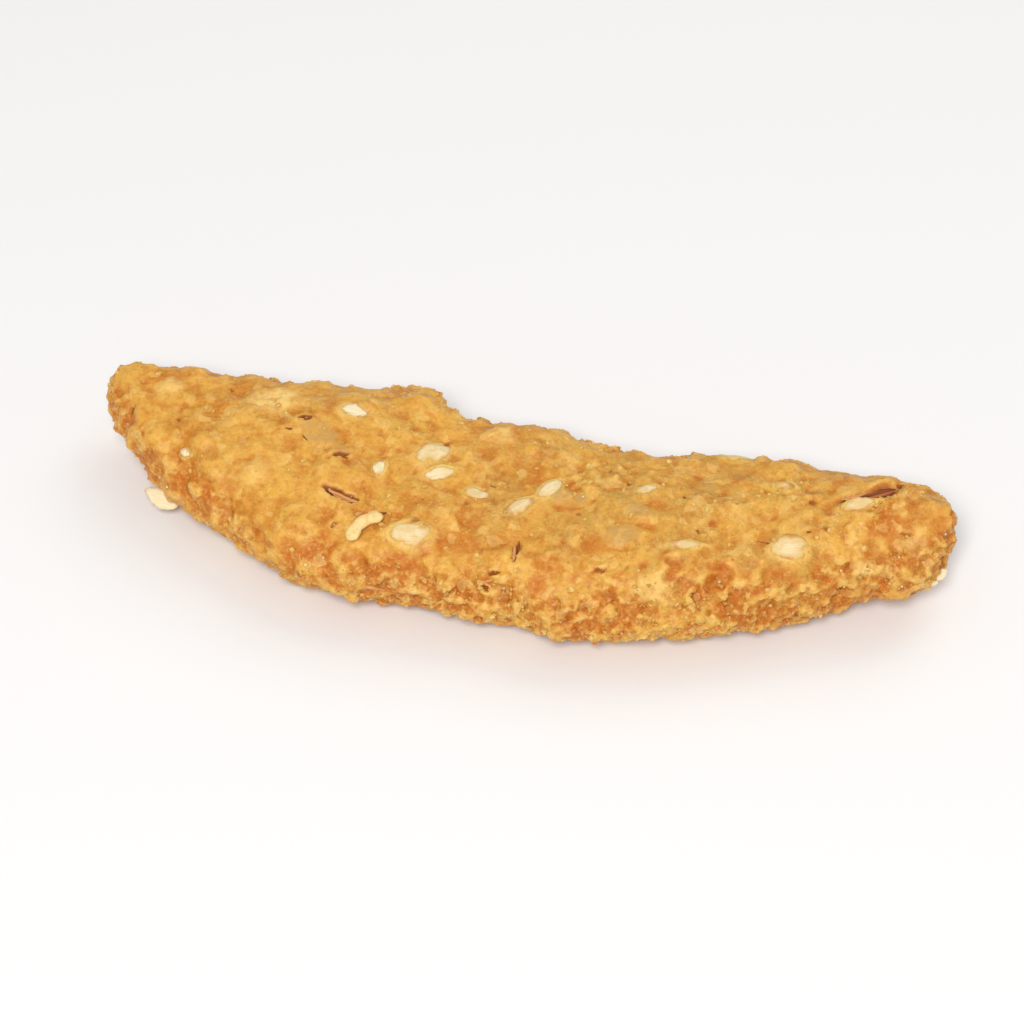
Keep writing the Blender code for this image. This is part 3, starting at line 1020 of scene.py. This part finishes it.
bpy.ops.object.select_all(action="DESELECT")
bpy.ops.mesh.primitive_cube_add(size=1.0)
grain_model = bpy.context.object
grain_model.name = "grain_model"
bpy.ops.object.mode_set(mode="EDIT")
bpy.ops.mesh.select_all(action="SELECT")
bpy.ops.mesh.bevel(offset=SALT_BEVEL, segments=1)
bpy.ops.object.mode_set(mode="OBJECT")
salting = Random(61)
grain_placings = []
for place, normal in spots_on(dough, SALT_COUNT * 4, seed=62):
    if len(grain_placings) == SALT_COUNT:
        break
    skin_place, skin_normal, face, distance = skin.find_nearest(place)
    if skin_normal.z < -0.2 or salting.random() > crumbliness(place, skin_normal) ** SALT_THINNING:
        continue
    across = salting.uniform(*SALT_SIZES)
    grain_placings.append(laid(place + normal * SALT_RISE * across, normal, random_way(salting),
                               (across, across * salting.uniform(0.7, 1.0), across),
                               salting.uniform(-40, 40), salting.uniform(-40, 40)))
salt = strewn("salt", [grain_model], grain_placings)
material, tree, shader = new_material(
    "salt", base_color=SALT_WHITE, roughness=0.60, specular_ior_level=0.2,
    subsurface_weight=0.5, subsurface_scale=0.0003)
salt.data.materials.append(material)
shrink_to_size(salt, smooth=False)
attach(salt, "root")
bpy.data.objects.remove(grain_model)

# ------------------------------------------------------------------ hulls
# Slivers of seed hull and wheat bran, caught in the splits or lying in the skin. The dark ones that line
# the splits and fine cracks are partly scorched hull and partly painted shade of those hollows, and those
# that stand clear of them are a pinkish tan.

# Colours of the dark slivers: partly scorched hull, partly painted shade inside the splits and cracks.
SCORCHED_AND_SHADE_DARK = (0.120, 0.036, 0.011, 1.0)
SCORCHED_AND_SHADE_RED = (0.430, 0.130, 0.045, 1.0)
HULL_TAN = (0.740, 0.380, 0.150, 1.0)
HULL_SHADE = (0.500, 0.200, 0.060, 1.0)
# The rise is how far a sliver stands above the dough. One on a side also has its height, z.
SCORCHED_AND_SHADE_SLIVERS = table(
    "x y turn length width rise roll z",
    (-9.3, -3.05, -14, 2.45, 0.72, 0.05),
    (20.1, 3.60, 33, 3.90, 1.00, 0.02, 24),
    (1.5, -4.80, 100, 1.60, 0.14, 0.03),
    (-12.4, 1.45, 24, 0.45, 0.24, 0.02),
    (-12.2, 0.15, -40, 0.60, 0.07, 0.02),
    (-10.0, -0.60, -8, 1.10, 0.08, 0.03),
    (-13.3, 0.60, 5, 0.36, 0.09, 0.02),
    (17.2, -0.25, 12, 0.28, 0.13, 0.02),
    (15.1, -1.50, 3, 1.30, 0.05, 0.04),
    (-0.9, -0.60, -24, 0.45, 0.07, 0.02),
    (-6.4, -3.90, 14, 0.60, 0.15, 0.02),
    (9.9, 0.60, -40, 0.30, 0.09, 0.02),
    (5.2, 2.20, 70, 0.30, 0.09, 0.02))
HULL_SLIVERS = table(
    "x y turn length width rise roll z",
    (-9.15, -3.15, -15, 1.90, 0.40, 0.19),
    (1.32, -5.00, 98, 1.10, 0.20, 0.08),
    (0.2, -6.55, 30, 0.50, 0.22, 0.08),
    (19.1, 3.15, 30, 1.50, 0.22, 0.10, 20),
    (-6.5, -7.1, -4, 1.90, 0.22, 0.06, 0, 3.2))

SLIVER_STEPS = (0.20, 0.32, 0.42, 0.48)      # where its ends narrow, from the middle
SLIVER_NARROWING = (1.0, 0.74, 1.0)
SLIVER_HOLLOW = ((0.15, -0.10), (0.30, -0.16), (0.45, -0.14))      # how its edges turn down
SLIVER_THICKNESS = 0.14
SLIVER_WRINKLE = 0.16
SLIVER_HEADROOM = 0.2                        # for its turned-down edges, as a share of its width

bpy.ops.object.select_all(action="DESELECT")
bpy.ops.mesh.primitive_grid_add(x_subdivisions=10, y_subdivisions=4, size=1.0)
sliver = bpy.context.object
sliver.name = "sliver"
for step in SLIVER_STEPS:
    choose_points(sliver, lambda place: abs(place.x) > step)
    bpy.ops.transform.resize(value=SLIVER_NARROWING, center_override=(0.0, 0.0, 0.0))
for step, drop in SLIVER_HOLLOW:
    choose_points(sliver, lambda place: abs(place.y) > step)
    bpy.ops.transform.translate(value=(0.0, 0.0, drop))
bpy.ops.object.mode_set(mode="OBJECT")
shape_with(sliver, "SOLIDIFY", thickness=SLIVER_THICKNESS, offset=-1.0)


def lay_slivers(name, entries, seed):
    """Lay a copy of the sliver at each place, on the dough as it is there."""
    placings = []
    for entry in entries:
        if "z" in entry:
            spot = Vector((entry["x"], entry["y"], entry["z"]))
            skin_place, skin_normal, face, distance = skin.find_nearest(spot)
        else:
            skin_place, skin_normal = on_top(entry["x"], entry["y"])
        place, normal, face, distance = dough_skin.ray_cast(skin_place + skin_normal, -skin_normal)
        rise = entry["rise"] + SLIVER_HEADROOM * entry["width"]
        sizes = (entry["length"], entry["width"], entry["width"])
        placings.append(laid(place + skin_normal * rise, skin_normal, level_way(entry["turn"]), sizes,
                             roll=entry.get("roll", 0.0)))
    piece = strewn(name, [sliver], placings, seed=seed)
    shape_with(piece, "DISPLACE", texture=seed_wrinkle, strength=SLIVER_WRINKLE, mid_level=0.5)
    return piece


for name, entries, darkest, lightest in (
        ("scorched_hulls_and_split_shade", SCORCHED_AND_SHADE_SLIVERS, SCORCHED_AND_SHADE_DARK, SCORCHED_AND_SHADE_RED),
        ("tan_hulls", HULL_SLIVERS, HULL_SHADE, HULL_TAN)):
    piece = lay_slivers(name, entries, seed=6)
    material, tree, shader = new_material(name, roughness=0.75, specular_ior_level=0.15)
    streaks = spread(tree, streaked(tree, (1.5, 7.0, 4.0)), 0.36, 0.62)
    colour = mixed(tree, streaks, darkest, lightest)
    tree.links.new(colour, shader.inputs["Base Color"])
    piece.data.materials.append(material)
    shrink_to_size(piece)
    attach(piece, "root")
bpy.data.objects.remove(sliver)

# ------------------------------------------------------------------ floor, light and camera
# A plain white table in a white room, a soft light high in front of it, a broader and weaker one
# behind, and a long lens.

CAMERA_TURN = 13.5             # degrees round the stick from straight in front
CAMERA_HEIGHT = 47.0           # degrees above the table, as the stick leans towards the lens
CAMERA_DISTANCE = 0.27
LENS = 166.0
TABLE_WHITE = (0.82, 0.81, 0.805, 1.0)
ROOM_WHITE = (1.0, 0.99, 0.975, 1.0)
ROOM_LIGHT = 0.48

bpy.ops.object.select_all(action="DESELECT")
bpy.ops.mesh.primitive_plane_add(size=2.4)
floor = bpy.context.object
floor.name = "table"
material, tree, shader = new_material("table", base_color=TABLE_WHITE, roughness=0.7)
floor.data.materials.append(material)

scene = bpy.context.scene
scene.view_settings.view_transform = "Standard"
room = bpy.data.worlds.new("room")
room.use_nodes = True
backdrop = room.node_tree.nodes["Background"].inputs
backdrop["Color"].default_value = ROOM_WHITE
backdrop["Strength"].default_value = ROOM_LIGHT
scene.world = room


def soft_light(name, place, size, power, aim):
    """A square soft box that faces its aim."""
    light = bpy.data.lights.new(name, "AREA")
    light.size = size
    light.energy = power
    box = bpy.data.objects.new(name, light)
    box.location = place
    box.rotation_euler = (Vector(aim) - Vector(place)).to_track_quat("-Z", "Y").to_euler()
    bpy.context.collection.objects.link(box)


middle = Vector([(a + b) / 2.0 for a, b in zip(low, high)])
soft_light("key", place=(0.03, -0.28, 0.35), size=0.12, power=1.52, aim=middle)
soft_light("back", place=(0.12, 0.26, 0.34), size=0.30, power=0.40, aim=middle)

turn, height = radians(CAMERA_TURN), radians(CAMERA_HEIGHT)
away = Vector((sin(turn) * cos(height), -cos(turn) * cos(height), sin(height)))
lens = bpy.data.cameras.new("camera")
lens.lens = LENS
lens.sensor_width = 36.0
lens.clip_start = 0.01
lens.clip_end = 10.0
camera = bpy.data.objects.new("camera", lens)
camera.location = middle + away * CAMERA_DISTANCE
camera.rotation_euler = away.to_track_quat("Z", "Y").to_euler()
bpy.context.collection.objects.link(camera)
scene.camera = camera
